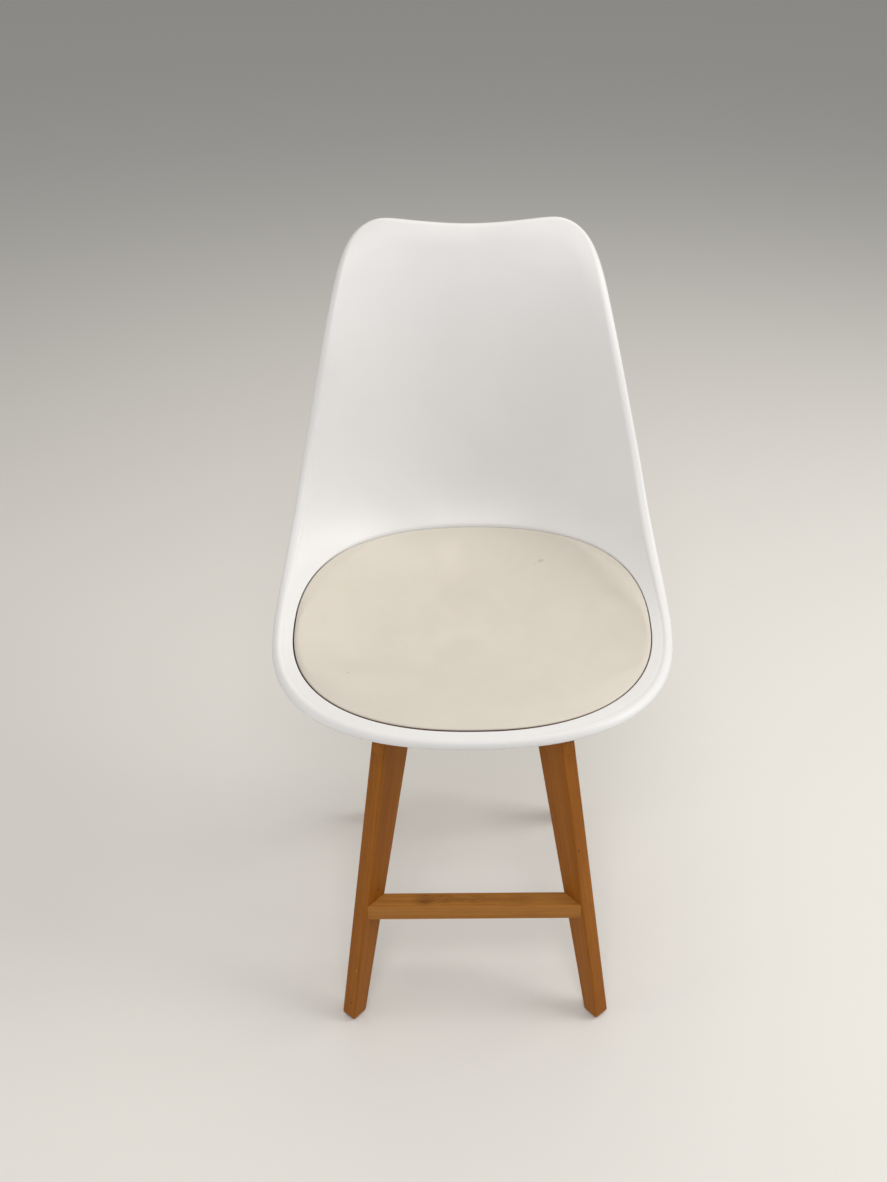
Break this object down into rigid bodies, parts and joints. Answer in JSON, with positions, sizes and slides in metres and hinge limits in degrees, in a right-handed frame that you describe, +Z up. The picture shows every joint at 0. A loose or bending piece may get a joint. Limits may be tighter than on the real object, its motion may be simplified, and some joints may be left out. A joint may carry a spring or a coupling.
{
  "type": "dining chair",
  "caption": "Dining chair with a moulded bucket shell, a recessed padded seat and splayed tapering wooden legs joined by stretchers under a crossed rail frame.",
  "frame": {"origin": "on the floor, under the middle of the whole chair", "axes": "+Z up; -Y towards the front edge of the seat, +Y towards the backrest; +X to the right when looking at the chair from the front"},
  "size_m": [0.4603, 0.5121, 0.8419],
  "materials": {
    "shell_plastic": "white moulded plastic, satin gloss",
    "pad_cover": "smooth beige upholstery leatherette, low sheen",
    "pad_foam": "open-cell cushion foam, unfinished",
    "pad_board": "bent plywood, sanded",
    "leg_wood": "beech stained golden brown, satin lacquer",
    "rail_wood": "beech stained golden brown, matt lacquer",
    "dowel_wood": "plain fluted beech, unfinished",
    "steel": "zinc-plated steel",
    "insert_brass": "machined",
    "spacer_rubber": "black moulded rubber",
    "glide_nylon": "black nylon"
  },
  "bodies": {
    "root": {"seat_shell": "shell_plastic", "shell_inserts": "insert_brass", "cushion_cover": "pad_cover", "cushion_foam": "pad_foam", "cushion_board": "pad_board", "cushion_inserts": "steel", "cushion_screws": "steel", "cover_staples": "steel", "lower_cross_rail": "rail_wood", "upper_cross_rail": "rail_wood", "lap_screw": "steel", "front_left_leg": "leg_wood", "front_right_leg": "leg_wood", "rear_left_leg": "leg_wood", "rear_right_leg": "leg_wood", "front_stretcher": "leg_wood", "rear_stretcher": "leg_wood", "rail_dowels": "dowel_wood", "stretcher_dowels": "dowel_wood", "bolt_plugs": "leg_wood", "leg_bolts": "steel", "leg_washers": "steel", "barrel_nuts": "steel", "shell_bolts": "steel", "shell_washers": "steel", "shell_spacers": "spacer_rubber", "front_left_glide": "glide_nylon", "front_right_glide": "glide_nylon", "rear_left_glide": "glide_nylon", "rear_right_glide": "glide_nylon", "glide_nails": "steel"}
  },
  "joints": []
}
